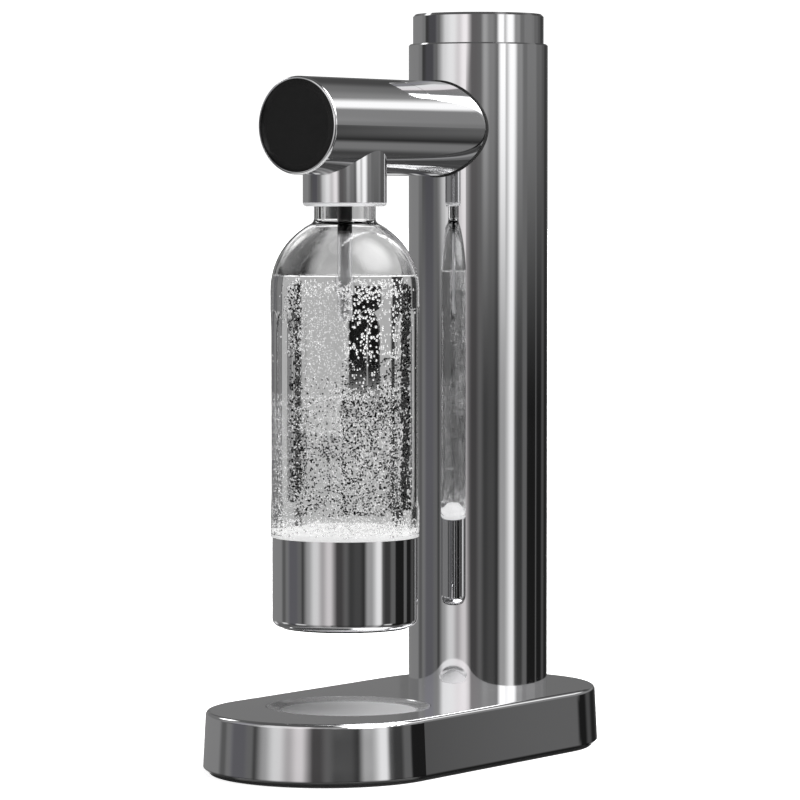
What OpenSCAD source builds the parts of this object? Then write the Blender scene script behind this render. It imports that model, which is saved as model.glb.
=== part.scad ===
// Sparkling water maker: a round steel column on a stadium base, with a gas cylinder inside the column,
// a push button on its top, and an arm that carries a nozzle and a screwed-in bottle over a drip tray.
// Millimetres. Z is up, the table is z = 0, the front is -Y and the origin is the middle of the base.

/* [Base] */
// Length of the base, front to back
base_len = 280; // [260:1:310]
// Width of the base
base_w = 134; // [124:1:160]
// Height of the base's top face above the table
base_h = 34; // [31:0.5:45]
// Wall thickness of the base shell
base_wall = 2; // [1.5:0.1:3]
// Thickness of the base shell's top
base_top_t = 2.5; // [2:0.1:4]
// Radius of the base's rounded top edge
base_edge = 2.4; // [1:0.1:4]
// Bevel on the base's bottom edge
base_bevel = 1.2; // [0.5:0.1:2]
// How far the base's side leans in on its way up
base_lean = 1.4; // [0:0.1:2.5]
// Gap between the table and the steel shell
foot_h = 2.2; // [1.8:0.1:4]
// How far the rubber foot stands in from the shell
foot_inset = 3; // [2.5:0.5:6]
// Width of the rubber foot ring
foot_w = 11; // [6:0.5:14]
// Thickness of the bottom plate
plate_t = 3; // [2:0.5:5]

/* [Drip tray] */
// Outer diameter of the drip tray
tray_d = 90; // [80:1:98]
// Depth of the drip tray's dish
tray_depth = 2.2; // [1.6:0.1:4]
// Width of the dish's hollow side
tray_side = 5.4; // [4:0.2:8]
// Sheet thickness of the drip tray
tray_t = 1.2; // [0.8:0.1:2]
// Distance from the bottle's axis to the drip tray's axis, towards the column
tray_offset = 3; // [0:0.5:5]

/* [Column] */
// Outer diameter of the column
column_d = 79; // [76:0.5:90]
// Wall thickness of the column
column_wall = 1.5; // [1:0.1:2]
// Height of the column above the base
column_h = 365; // [340:1:400]
// Distance from the base's rear end to the column's axis
column_setback = 69.5; // [60:0.5:75]

/* [Push button] */
// How far the button stands above the column
button_h = 17; // [12:0.5:24]
// Radial gap between the button and the column's bore
button_gap = 0.9; // [0.6:0.1:1.5]
// Sheet thickness of the button's steel cap
button_wall = 1.2; // [0.8:0.1:2]
// Travel of the button
button_travel = 6; // [4:0.5:7]
// How far the button's skirt still overlaps the column with the button up, past its travel
skirt_overlap = 4; // [3:0.5:5]

/* [Arm] */
// Outer diameter of the arm
arm_d = 53; // [50:0.5:58]
// Wall thickness of the arm
arm_wall = 1.5; // [1:0.1:2]
// Depth of the arm's axis below the column's top
arm_drop = 48.3; // [46:0.1:56]
// Distance from the column's axis to the arm's front end
arm_reach = 169.4; // [160:0.2:185]
// Thickness of the gasket between arm and column
gasket_t = 0.8; // [0.4:0.1:1]
// Radius of the arm's rounded front rim
arm_edge = 1.4; // [0.4:0.1:1.8]
// How far the black end cap sits back from the arm's rim
end_cap_recess = 0.3; // [0.2:0.1:2]

/* [Nozzle] */
// Distance from the column's axis to the bottle's axis
bottle_reach = 126.5; // [120:0.5:130]
// Wall thickness of the nozzle shroud's lower rim
shroud_wall = 1.2; // [1:0.1:1.6]
// Wall thickness of the threaded collar that holds the bottle
collar_wall = 3.65; // [3.4:0.05:4.5]
// Depth of the shroud's bottom edge below the arm's axis
shroud_drop = 43.4; // [41:0.2:48]
// Diameter of the carbonation tube
tube_d = 8; // [6:0.2:9]
// Length of the carbonation tube below the shroud, with its tip
tube_len = 62; // [50:1:80]

/* [Bottle] */
// Diameter of the bottle's body
bottle_d = 81.2; // [76:0.2:90]
// Height of the bottle and its cup, from the cup's foot to the rim of the neck
bottle_len = 244.5; // [230:0.5:250]
// Diameter of the neck below the thread
neck_d = 33.7; // [31:0.1:36]
// Wall thickness of the bottle
bottle_wall = 1.6; // [1.2:0.1:2.4]
// Height of the steel cup on the bottle's bottom
cup_h = 49.5; // [40:0.5:60]
// Sheet thickness of the cup
cup_wall = 1; // [0.8:0.1:1.5]
// Number of flutes around the bottle
flute_count = 10; // [6:1:14]
// Depth of a flute
flute_depth = 1; // [0.6:0.1:1.4]
// Radius of a flute's hollow
flute_r = 80; // [50:1:120]
// Pitch of the bottle's screw thread
thread_pitch = 5; // [4.6:0.1:5.4]

/* [Gas cylinder] */
// Diameter of the gas cylinder
cylinder_d = 60; // [54:1:62]
// Wall thickness of the gas cylinder
cylinder_wall = 3; // [2:0.5:5]

/* [Hidden] */
$fn = 96;

// Shared clearances
seat_gap = 0.3;     // between pieces of two bodies that rest on each other
slip_gap = 0.15;    // radial, between pieces that are slid together and stay put
run_gap = 0.05;     // radial, between a shaft and its bearing
cut = 1;            // how far a cutting tool runs past the face that it cuts

// Colours
steel = "silver";
dark_steel = "dimgray";
black = [0.1, 0.1, 0.1];
rubber = [0.15, 0.15, 0.15];
brass = "goldenrod";
alloy = "lightgray";
nylon = "ivory";
clear_plastic = [0.85, 0.92, 0.95, 0.4];

// Base, derived
base_r = base_w / 2;
base_half = base_len / 2 - base_r;
foot_tuck = 0.8;
plate_z = foot_h + foot_tuck;
plate_top = plate_z + plate_t;
side_low = foot_h + base_bevel;
side_high = base_h - base_edge;
function lean_at(z) = base_lean * (z - side_low) / (side_high - side_low);
plate_r = base_r - base_wall - lean_at(plate_top) - slip_gap;
base_ceiling = base_h - base_top_t;
foot_bevel = 0.6;
post_r = 5;
post_depth = 12;
post_front_in = 17;
post_rear_in = 8;
post_side_in = 21;
screw_end_gap = 1;
base_screw_r = 1.75;
base_screw_head_r = 3.4;
base_screw_head_h = 1.6;

// Column, derived
column_r = column_d / 2;
column_ir = column_r - column_wall;
column_y = base_len / 2 - column_setback;
column_top = base_h + column_h;
column_lip = 0.8;
socket_r = column_ir - slip_gap;
socket_flange_w = 11;
socket_flange_t = 4;
socket_up = 20;
socket_screw_r = 2;
socket_screw_head_r = 3.5;
socket_screw_head_h = 3;
socket_screw_circle = column_r + socket_flange_w / 2;
socket_screw_count = 4;
socket_screw_skin = 0.8;

// Arm and nozzle, derived
arm_r = arm_d / 2;
arm_ir = arm_r - arm_wall;
arm_z = column_top - arm_drop;
arm_front = column_y - arm_reach;
bottle_y = column_y - bottle_reach;
neck_r = neck_d / 2;
neck_gap = 0.35;
collar_bore = neck_r + neck_gap;
shroud_ir = collar_bore + collar_wall + slip_gap;
shroud_ledge = 0.7;
shroud_low_ir = shroud_ir + shroud_ledge;
shroud_r = shroud_low_ir + shroud_wall;
shroud_edge = 2.2;
shroud_z = arm_z - shroud_drop;
shroud_lip_h = 1.5;
shroud_lip_w = 1;
collar_z = shroud_z + shroud_lip_h;
collar_h = 13.7;
collar_flange_h = 3.4;
collar_top = collar_z + collar_h;
seal_t = 2.5;
tube_r = tube_d / 2;
tube_seat = 10;
tube_top = arm_z - tube_seat;

// Bottle, derived
bottle_r = bottle_d / 2;
bottle_rim = collar_top - seat_gap;
cup_z = bottle_rim - bottle_len;
cup_foot_h = 0.8;
cup_floor = cup_z + cup_foot_h;
cup_top = cup_floor + cup_h - cup_foot_h;
cup_round = 4;
cup_step = 0.9;
cup_r = bottle_r - cup_step;
spigot_r = cup_r - cup_wall - slip_gap;
thread_depth = 1.5;
thread_turns = 1.6;
thread_root_half = 1.1;
thread_crest_half = 0.6;
finish_r = neck_r - thread_depth - slip_gap;
finish_wall = 2.2;
mouth_r = finish_r - finish_wall;
neck_fillet = 3;
dome_to_fillet = sqrt(pow(bottle_r + neck_fillet, 2) - pow(neck_r + neck_fillet, 2));
neck_shown = 6.8;
neck_low = shroud_z - neck_shown;
dome_z = neck_low - dome_to_fillet;
flute_taper = sqrt(2 * flute_r * flute_depth - pow(flute_depth, 2));
flute_top_margin = 10;
flute_low_margin = 14;
flute_top = dome_z - flute_top_margin - flute_taper;
flute_low = cup_top + flute_low_margin + flute_taper;

// Gas line, valve and lever, derived
gas_rise = 10;
gas_z = arm_z + gas_rise;
pipe_r = 3;
pipe_bore = 1.8;
pipe_hole_r = 4.5;
pipe_seat = 5;
valve_r = 14;
valve_neck_r = 9;
port_above = 5.3;
web_z = gas_z + port_above;
web_t = 4;
web_top = web_z + web_t;
valve_neck_up = 5;
valve_top = web_top + valve_neck_up;
seat_drop = 2.7;
seat_z = gas_z - seat_drop;
stem_len = 18;
valve_low = seat_z - stem_len;
chamber_up = 4;
stem_r = 10.4;
chamber_r = 3.5;
pin_r = 2;
pin_up = 10;
pin_top = web_top + pin_up;
lever_t = 4;
lever_w = 10;
lever_z = pin_top + seat_gap + lever_t / 2;
lever_end_room = 12;
lever_reach = column_ir - lever_end_room;
lever_nose = 6;
pivot_r = 2;
pivot_wall = 2.6;
frame_r = column_ir - slip_gap;
frame_wall = 3;
frame_drop = 10;
frame_low = arm_z - frame_drop;
frame_rim = 6;
frame_top = web_top + frame_rim;
bolt_x = 14;
bolt_r = 2.5;
bolt_head_r = 4.2;
bolt_head_h = 5;
bolt_pad_rim = 0.8;
bolt_pad_r = bolt_head_r + bolt_pad_rim;
bolt_key = 4.6;
bolt_key_depth = 3;
bolt_pad = 9;
bolt_seat = column_ir - bolt_pad;
bolt_in = 12.5;
bolt_end = column_r + bolt_in;
plug_len = 18.5;
plug_end = column_r + plug_len;

// Button, derived
button_r = column_ir - button_gap;
button_ir = button_r - button_wall;
button_low = column_top - button_travel - skirt_overlap;
button_top = column_top + button_h;
button_top_t = 1.5;
button_edge = 1.4;
core_t = 8;
core_top = button_top - button_top_t;
core_low = core_top - core_t;
rod_room = 14;
rod_x = column_ir - rod_room;
rod_r = 2.5;
rod_tail = 4;
rod_low = web_z - rod_tail;
rod_seat = 6;
spring_wire = 0.8;
spring_r = 5;
spring_turns = 7;
plunger_r = 4;

// Gas cylinder, derived
cylinder_r = cylinder_d / 2;
bay_gap = 2.5;
cover_rim_w = 4;
cover_r = cylinder_r + cover_rim_w;
cover_low = 1.2;
cover_lug_z = plate_top + seat_gap;
cover_lug_h = 2;
cover_lug_w = 4;
cover_lug_r = cover_r + cover_lug_w;
cover_top = cover_lug_z + cover_lug_h;
cover_lugs = 3;
cover_lug_angle = 18;
cover_notch_play = 6;
cover_turn = 45;
cylinder_lift = 0.9;
cylinder_low = cover_top + cylinder_lift;
cylinder_foot_round = 8;
neck_cyl_r = 13;
valve_flange_t = 3.7;
neck_cyl_top = valve_low - seat_gap - valve_flange_t;
neck_cyl_h = 6;
shoulder_z = neck_cyl_top - neck_cyl_h;
dome_cyl_z = shoulder_z - sqrt(pow(cylinder_r, 2) - pow(neck_cyl_r, 2));

// Helpers
module disc(r, z0, z1) {
    translate([0, 0, z0]) cylinder(r = r, h = z1 - z0);
}

module ring(ro, ri, z0, z1) {
    difference() {
        disc(ro, z0, z1);
        disc(ri, z0 - cut, z1 + cut);
    }
}

// A rod along Y between two Y values
module y_rod(r, y0, y1, x = 0, z = 0) {
    translate([x, y1, z]) rotate([90, 0, 0]) cylinder(r = r, h = y1 - y0);
}

// A rod along X between two X values
module x_rod(r, x0, x1, y = 0, z = 0) {
    translate([x0, y, z]) rotate([0, 90, 0]) cylinder(r = r, h = x1 - x0);
}

// A hexagonal nut along Y, with a round hole
module y_nut(across, hole_r, y0, y1, z) {
    difference() {
        translate([0, y1, z]) rotate([90, 0, 0]) cylinder(d = across, h = y1 - y0, $fn = 6);
        y_rod(hole_r, y0 - cut, y1 + cut, 0, z);
    }
}

// A screw that points up, with its head below z
module screw_up(shank_r, head_r, head_h, z, top) {
    disc(head_r, z - head_h, z);
    disc(shank_r, z, top);
}

module at_column() { translate([0, column_y, 0]) children(); }

module at_bottle() { translate([0, bottle_y, 0]) children(); }

module at_tray() { translate([0, bottle_y + tray_offset, 0]) children(); }

// The children, once for each of a ring of places
module around(count, r, start = 0) {
    for (i = [0 : count - 1]) rotate([0, 0, start + i * 360 / count]) translate([r, 0, 0]) children();
}

// A solid whose half section, the child, is swept round a stadium that runs along Y
module stadium(half) {
    for (s = [-1, 1]) translate([0, s * half, 0]) rotate_extrude() children();
    rotate([90, 0, 0]) linear_extrude(height = 2 * half, center = true) union() {
        children();
        mirror([1, 0, 0]) children();
    }
}

// Half section of a plate with a bevelled bottom edge
module plate_section(r, z0, z1, low_bevel = 0) {
    polygon([[0, z0], [r - low_bevel, z0], [r, z0 + low_bevel], [r, z1], [0, z1]]);
}

// A wedge that opens from the axis over an angle
module wedge(r, angle, z0, z1) {
    half = angle / 2;
    translate([0, 0, z0]) linear_extrude(height = z1 - z0)
        polygon([
            [0, 0], [r * cos(half), -r * sin(half)], [r / cos(half), 0], [r * cos(half), r * sin(half)]
        ]);
}

// A tube swept along points, with each ring square to the path
function unit(v) = v / norm(v);
function path_dir(p, i) = unit(p[min(i + 1, len(p) - 1)] - p[max(i - 1, 0)]);
function side_dir(d) = unit(cross(d, [0, 0, 1]));
module sweep_round(path, r, sides) {
    points = [
        for (i = [0 : len(path) - 1])
            let (d = path_dir(path, i), u = side_dir(d), v = cross(u, d))
                for (k = [0 : sides - 1])
                    path[i] + r * (cos(360 * k / sides) * u + sin(360 * k / sides) * v)
    ];
    last = (len(path) - 1) * sides;
    faces = concat(
        [[for (k = [0 : sides - 1]) k]],
        [[for (k = [sides - 1 : -1 : 0]) last + k]],
        [
            for (i = [0 : len(path) - 2]) for (k = [0 : sides - 1])
                let (a = i * sides + k, b = i * sides + (k + 1) % sides)
                    each [[a, a + sides, b], [b, a + sides, b + sides]]
        ]
    );
    polyhedron(points, faces);
}

// A helical ridge with a trapezium section, from a root radius out or in to a crest radius
thread_rings = 24;
module thread_ridge(root_r, crest_r, z0, turns) {
    count = floor(turns * thread_rings);
    up = crest_r > root_r ? 1 : -1;
    function at(r, i, dz) = let (a = i * 360 / thread_rings)
        [r * cos(a), r * sin(a), z0 + thread_pitch * i / thread_rings + dz * up];
    points = [
        for (i = [0 : count])
            each [at(root_r, i, -thread_root_half), at(crest_r, i, -thread_crest_half),
                  at(crest_r, i, thread_crest_half), at(root_r, i, thread_root_half)]
    ];
    sides = [
        for (i = [0 : count - 1]) for (k = [0 : 3])
            let (a = i * 4 + k, b = i * 4 + (k + 1) % 4) each [[a, b, b + 4], [a, b + 4, a + 4]]
    ];
    end = count * 4;
    ends = [[3, 2, 1], [3, 1, 0], [end, end + 1, end + 2], [end, end + 2, end + 3]];
    polyhedron(points, concat(sides, ends));
}

// Base
base_posts = [
    [0, -base_len / 2 + base_wall + post_front_in],
    [0, base_len / 2 - base_wall - post_rear_in],
    [post_side_in - base_r, (column_y + bottle_y) / 2],
    [base_r - post_side_in, (column_y + bottle_y) / 2]
];
tray_r = tray_d / 2;
tray_floor = base_h - tray_depth;
well_r = tray_r + seat_gap;
well_floor = tray_floor - tray_t - seat_gap;
well_wall = 1.5;

// Half sections of the base shell's outside and inside, with the leaning side
module shell_outside() {
    edge_x = base_r - base_lean - base_edge;
    polygon([
        [0, foot_h], [base_r - base_bevel, foot_h], [base_r, side_low], [base_r - base_lean, side_high],
        [edge_x, base_h], [0, base_h]
    ]);
    translate([edge_x, side_high]) circle(r = base_edge);
}

module shell_inside() {
    low = foot_h - cut;
    polygon([
        [0, low], [base_r - base_wall - lean_at(low), low],
        [base_r - base_wall - lean_at(base_ceiling), base_ceiling], [0, base_ceiling]
    ]);
}

module base_shell() color(steel) difference() {
    union() {
        difference() {
            stadium(base_half) shell_outside();
            stadium(base_half) shell_inside();
        }
        for (p = base_posts) translate([p[0], p[1], 0])
            disc(post_r, plate_top, base_ceiling + base_top_t / 2);
        at_tray() disc(well_r + well_wall, well_floor - well_wall, base_ceiling + base_top_t / 2);
    }
    at_tray() disc(well_r, well_floor, base_h + cut);
    at_column() disc(socket_r + slip_gap, foot_h, base_h + cut);
    at_column() around(socket_screw_count, socket_screw_circle, 45)
        disc(socket_screw_r + run_gap, foot_h, base_h - socket_screw_skin);
    for (p = base_posts) translate([p[0], p[1], 0])
        disc(base_screw_r + run_gap, plate_top - cut, plate_top + post_depth);
}

module base_plate() color(black) difference() {
    stadium(base_half) plate_section(plate_r, plate_z, plate_top);
    at_column() disc(cover_r + seat_gap, plate_z - cut, plate_top + cut);
    at_column() for (i = [0 : cover_lugs - 1]) rotate([0, 0, cover_turn + i * 360 / cover_lugs])
        intersection() {
            disc(cover_lug_r + seat_gap, plate_z - cut, plate_top + cut);
            wedge(cover_lug_r + cut, cover_lug_angle + cover_notch_play, plate_z - cut, plate_top + cut);
        }
    for (p = base_posts) translate([p[0], p[1], 0]) {
        disc(base_screw_r + slip_gap, plate_z - cut, plate_top + cut);
        disc(base_screw_head_r + slip_gap, plate_z - cut, plate_z + base_screw_head_h);
    }
}

module foot_ring() color(rubber) difference() {
    stadium(base_half) plate_section(base_r - foot_inset, 0, plate_z, foot_bevel);
    stadium(base_half) plate_section(base_r - foot_inset - foot_w, -cut, plate_z + cut);
    for (p = base_posts) translate([p[0], p[1], 0]) disc(base_screw_head_r + slip_gap, -cut, plate_z + cut);
}

module base_screws() color(dark_steel) for (p = base_posts) translate([p[0], p[1], 0])
    screw_up(base_screw_r, base_screw_head_r, base_screw_head_h,
        plate_z + base_screw_head_h, plate_top + post_depth - screw_end_gap);

// Twist-lock cover under the gas cylinder, with a bar to grip it by
cover_bar = 9;
cover_rim = 6;
cover_pocket = 3.6;
module cylinder_cover() color(black) at_column() difference() {
    union() {
        disc(cover_r, cover_low, cover_top);
        for (i = [0 : cover_lugs - 1]) rotate([0, 0, i * 360 / cover_lugs]) intersection() {
            disc(cover_lug_r, cover_lug_z, cover_top);
            wedge(cover_lug_r + cut, cover_lug_angle, cover_lug_z, cover_top);
        }
    }
    intersection() {
        disc(cover_r - cover_rim, cover_low - cut, cover_low + cover_pocket);
        for (s = [-1, 1]) translate([s * (cover_bar / 2 + cover_r) - cover_r, -cover_r, cover_low - cut])
            cube([2 * cover_r, 2 * cover_r, cover_pocket + cut]);
    }
}

// Dish with a flat floor and a hollow side that meets the floor smoothly
tray_flat_r = tray_r - tray_t - tray_side;
tray_hollow = (pow(tray_side, 2) + pow(tray_depth, 2)) / (2 * tray_depth);
module drip_tray() color(steel) at_tray() difference() {
    disc(tray_r, tray_floor - tray_t, base_h);
    disc(tray_flat_r, tray_floor, base_h + cut);
    translate([0, 0, tray_floor + tray_hollow])
        rotate_extrude() translate([tray_flat_r, 0]) circle(r = tray_hollow);
}

// Column
module column_socket() color(alloy) at_column() difference() {
    union() {
        disc(column_r + socket_flange_w, base_ceiling - socket_flange_t, base_ceiling);
        disc(socket_r, base_ceiling - socket_flange_t, base_h + socket_up);
    }
    disc(cylinder_r + bay_gap, 0, base_h + socket_up + cut);
    around(socket_screw_count, socket_screw_circle, 45)
        disc(socket_screw_r + slip_gap, 0, base_ceiling + cut);
}

module socket_screws() color(dark_steel) at_column() around(socket_screw_count, socket_screw_circle, 45)
    screw_up(socket_screw_r, socket_screw_head_r, socket_screw_head_h,
        base_ceiling - socket_flange_t, base_h - socket_screw_skin - slip_gap);

module column_tube() color(steel) at_column() difference() {
    rotate_extrude() polygon([
        [column_ir, base_h], [column_r, base_h], [column_r, column_top - column_lip],
        [column_r - column_lip, column_top], [column_ir, column_top]
    ]);
    y_rod(pipe_hole_r, -column_r - cut, 0, 0, gas_z);
    for (s = [-1, 1]) y_rod(bolt_r + slip_gap, -column_r - cut, 0, s * bolt_x, arm_z);
}

guide_up = 1;
module guide_ring() color(black) at_column()
    ring(column_ir, button_r + button_gap / 3, button_low + guide_up, column_top - column_lip);

// Frame inside the column's head, with a web that carries the valve
module head_frame() color(black) at_column() difference() {
    union() {
        ring(frame_r, frame_r - frame_wall, frame_low, frame_top);
        disc(frame_r, web_z, web_top);
        intersection() {
            disc(frame_r, frame_low, frame_top);
            for (s = [-1, 1]) y_rod(bolt_pad_r, -column_r, -bolt_seat, s * bolt_x, arm_z);
        }
    }
    disc(valve_neck_r + slip_gap, web_z - cut, web_top + cut);
    y_rod(pipe_hole_r, -column_r, 0, 0, gas_z);
    for (s = [-1, 1]) {
        y_rod(bolt_r + slip_gap, -column_r, 0, s * bolt_x, arm_z);
        translate([s * rod_x, 0, 0]) disc(rod_r + slip_gap, web_z - cut, web_top + cut);
        translate([s * bracket_screw_x, lever_reach, 0]) disc(bracket_screw_r, web_z - cut, web_top + cut);
    }
}

// Valve
module valve_body() color(brass) at_column() difference() {
    union() {
        disc(valve_r, valve_low, web_z);
        disc(valve_neck_r, web_z, valve_top);
    }
    disc(stem_r + slip_gap, valve_low - cut, seat_z);
    disc(chamber_r, seat_z - cut, gas_z + chamber_up);
    disc(pin_r + run_gap, seat_z, valve_top + cut);
    disc(pin_seal_r, valve_top - pin_seal_h, valve_top + cut);
    y_rod(pipe_bore, -valve_r, 0, 0, gas_z);
    y_rod(pipe_r, -valve_r - cut, -valve_r + pipe_seat, 0, gas_z);
}

locknut_across = 26;
locknut_h = 4;
module valve_locknut() color(brass) at_column() difference() {
    translate([0, 0, web_top]) cylinder(d = locknut_across, h = locknut_h, $fn = 6);
    disc(valve_neck_r, web_top - cut, web_top + locknut_h + cut);
}

pin_seal_wire = 0.9;
pin_seal_r = pin_r + run_gap + 2 * pin_seal_wire;
pin_seal_lid = 0.1;
pin_seal_h = 2 * pin_seal_wire + pin_seal_lid;
module pin_seal() color(rubber) at_column() translate([0, 0, valve_top - pin_seal_wire - pin_seal_lid])
    rotate_extrude() translate([pin_seal_r - pin_seal_wire, 0]) circle(r = pin_seal_wire, $fn = 32);

pin_down = 7;
pin_low = seat_z - pin_down;
module valve_pin() color(steel) at_column() {
    disc(pin_r, pin_low, pin_top - pin_r);
    translate([0, 0, pin_top - pin_r]) sphere(r = pin_r);
}

poppet_r = 3.2;
poppet_h = 8;
module cylinder_poppet() color(brass) at_column() disc(poppet_r, pin_low - poppet_h, pin_low);

cylinder_seal_t = 1.9;
cylinder_seal_in = 2;
module cylinder_seal() color(rubber) at_column()
    ring(stem_r - cylinder_seal_in, chamber_r, seat_z - cylinder_seal_t, seat_z);

// Lever that the button's plunger pushes at its front end
module valve_lever() color(steel) at_column() difference() {
    union() {
        translate([-lever_w / 2, -lever_reach - lever_nose, lever_z - lever_t / 2])
            cube([lever_w, 2 * lever_reach + lever_nose, lever_t]);
        x_rod(pivot_r + pivot_wall, -lever_w / 2, lever_w / 2, lever_reach, lever_z);
    }
    x_rod(pivot_r + run_gap, -lever_w, lever_w, lever_reach, lever_z);
}

ear_t = 3;
pivot_proud = 0.5;
ear_in = lever_w / 2 + seat_gap;
bracket_t = 2;
bracket_half = 4.8;
bracket_screw_out = 3.4;
bracket_edge = 3;
bracket_screw_x = ear_in + ear_t + bracket_screw_out;
bracket_screw_r = 1.5;
bracket_head_r = 2.7;
bracket_head_h = 2;
module lever_bracket() color(dark_steel) at_column() difference() {
    union() {
        translate([-bracket_screw_x - bracket_edge, lever_reach - bracket_half, web_top])
            cube([2 * (bracket_screw_x + bracket_edge), 2 * bracket_half, bracket_t]);
        for (s = [-1, 1])
            translate([s * (ear_in + ear_t / 2) - ear_t / 2, lever_reach - bracket_half, web_top])
                cube([ear_t, 2 * bracket_half, lever_z - web_top]);
        for (s = [-1, 1])
            x_rod(bracket_half, s * (ear_in + ear_t / 2) - ear_t / 2, s * (ear_in + ear_t / 2) + ear_t / 2,
                lever_reach, lever_z);
    }
    x_rod(pivot_r, -ear_in - ear_t - cut, ear_in + ear_t + cut, lever_reach, lever_z);
    for (s = [-1, 1]) translate([s * bracket_screw_x, lever_reach, 0])
        disc(bracket_screw_r + slip_gap, web_top - cut, web_top + bracket_t + cut);
}

module lever_pin() color(steel) at_column()
    x_rod(pivot_r, -ear_in - ear_t - pivot_proud, ear_in + ear_t + pivot_proud, lever_reach, lever_z);

module bracket_screws() color(dark_steel) at_column() for (s = [-1, 1])
    translate([s * bracket_screw_x, lever_reach, 0]) {
        disc(bracket_screw_r, web_z, web_top + bracket_t);
        disc(bracket_head_r, web_top + bracket_t, web_top + bracket_t + bracket_head_h);
    }

// Push button
module push_button() color(steel) at_column() difference() {
    rotate_extrude() polygon([
        [0, button_low], [button_r, button_low], [button_r, button_top - button_edge],
        [button_r - button_edge, button_top], [0, button_top]
    ]);
    disc(button_ir, button_low - cut, button_top - button_top_t);
}

module button_core() color(nylon) at_column() difference() {
    union() {
        disc(button_ir - slip_gap, core_low, core_top);
        translate([0, -lever_reach, 0]) {
            disc(plunger_r, lever_z + lever_t / 2 + seat_gap + plunger_r, core_low + cut);
            translate([0, 0, lever_z + lever_t / 2 + seat_gap + plunger_r]) sphere(r = plunger_r);
        }
    }
    for (s = [-1, 1]) translate([s * rod_x, 0, 0]) disc(rod_r, core_low - cut, core_low + rod_seat);
}

module guide_rods() color(steel) at_column() for (s = [-1, 1]) translate([s * rod_x, 0, 0])
    disc(rod_r, rod_low, core_low + rod_seat);

spring_low = web_top + spring_wire;
spring_high = core_low - spring_wire;
spring_rings = 8;
spring_path = [
    for (i = [0 : spring_turns * spring_rings])
        let (a = 360 * i / spring_rings, t = i / (spring_turns * spring_rings))
            [spring_r * cos(a), spring_r * sin(a), spring_low + t * (spring_high - spring_low)]
];
// Least gap between one turn of the spring and the next, measured on its path's points
spring_gap = min([
    for (i = [0 : len(spring_path) - spring_rings - 1])
        norm(spring_path[i + spring_rings] - spring_path[i]) - 2 * spring_wire
]);
echo(spring_gap = spring_gap);
module button_springs() color(steel) at_column() for (s = [-1, 1]) translate([s * rod_x, 0, 0])
    sweep_round(spring_path, spring_wire, 6);

clip_r = 4.6;
clip_t = 1.2;
module rod_clips() color(dark_steel) at_column() for (s = [-1, 1]) translate([s * rod_x, 0, 0])
    ring(clip_r, rod_r, web_z - seat_gap - clip_t, web_z - seat_gap);

// Gas cylinder
module cylinder_hull(inset) {
    r = cylinder_r - inset;
    low = cylinder_low + inset;
    corner = cylinder_foot_round - inset;
    disc(r, low + corner, dome_cyl_z);
    disc(r - corner, low, low + corner + cut);
    translate([0, 0, low + corner]) rotate_extrude() translate([r - corner, 0]) circle(r = corner);
    translate([0, 0, dome_cyl_z]) sphere(r = r);
}

module co2_cylinder() color(alloy) at_column() difference() {
    union() {
        cylinder_hull(0);
        disc(neck_cyl_r, shoulder_z - cylinder_wall, neck_cyl_top);
    }
    cylinder_hull(cylinder_wall);
    disc(stem_r, shoulder_z - 2 * cylinder_wall, neck_cyl_top + cut);
}

stem_tail = 2;
stem_low = shoulder_z - stem_tail;
poppet_bore = 3.5;
valve_flange_rim = 1;
pin_room = 0.4;
module cylinder_valve() color(brass) at_column() difference() {
    union() {
        disc(stem_r, stem_low, seat_z - cylinder_seal_t);
        disc(neck_cyl_r + valve_flange_rim, neck_cyl_top, valve_low - seat_gap);
    }
    disc(poppet_bore, stem_low - cut, pin_low + seat_gap);
    disc(pin_r + pin_room, stem_low, seat_z);
}

// Arm
module arm_tube() color(steel) difference() {
    translate([0, column_y, arm_z]) rotate([90, 0, 0]) rotate_extrude() difference() {
        union() {
            square([arm_r, arm_reach - arm_edge]);
            square([arm_r - arm_edge, arm_reach]);
            translate([arm_r - arm_edge, arm_reach - arm_edge]) circle(r = arm_edge);
        }
        translate([0, -cut]) square([arm_ir, arm_reach + 2 * cut]);
    }
    at_column() disc(column_r + gasket_t, 0, column_top + button_h);
    at_bottle() disc(shroud_ir, 0, arm_z);
}

gasket_out = 0.7;
module arm_gasket() color(black) intersection() {
    difference() {
        y_rod(arm_r + gasket_out, column_y - column_r - gasket_t - cut, column_y, 0, arm_z);
        y_rod(arm_ir, column_y - column_r - gasket_t - 2 * cut, column_y + cut, 0, arm_z);
    }
    at_column() ring(column_r + gasket_t, column_r, 0, column_top + button_h);
}

module arm_plug() color(alloy) difference() {
    y_rod(arm_ir - run_gap, column_y - plug_end, column_y, 0, arm_z);
    at_column() disc(column_r, 0, column_top + button_h);
    y_rod(pipe_hole_r, column_y - plug_end - cut, column_y, 0, gas_z);
    for (s = [-1, 1])
        y_rod(bolt_r + run_gap, column_y - bolt_end - screw_end_gap, column_y, s * bolt_x, arm_z);
}

module arm_bolts() color(dark_steel) at_column() for (s = [-1, 1]) difference() {
    union() {
        y_rod(bolt_r, -bolt_end, -bolt_seat, s * bolt_x, arm_z);
        y_rod(bolt_head_r, -bolt_seat, -bolt_seat + bolt_head_h, s * bolt_x, arm_z);
    }
    translate([s * bolt_x, -bolt_seat + bolt_head_h + cut, arm_z]) rotate([90, 0, 0])
        cylinder(d = bolt_key, h = bolt_key_depth + cut, $fn = 6);
}

end_cap_t = 6;
end_cap_bevel = 3.8;
end_cap_step = 1;
module end_cap() color(black) translate([0, arm_front + end_cap_recess + end_cap_t, arm_z])
    rotate([90, 0, 0]) rotate_extrude() polygon([
        [0, 0], [arm_ir - run_gap, 0], [arm_ir - run_gap, end_cap_t - end_cap_step],
        [arm_ir - run_gap - end_cap_bevel, end_cap_t], [0, end_cap_t]
    ]);

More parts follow.
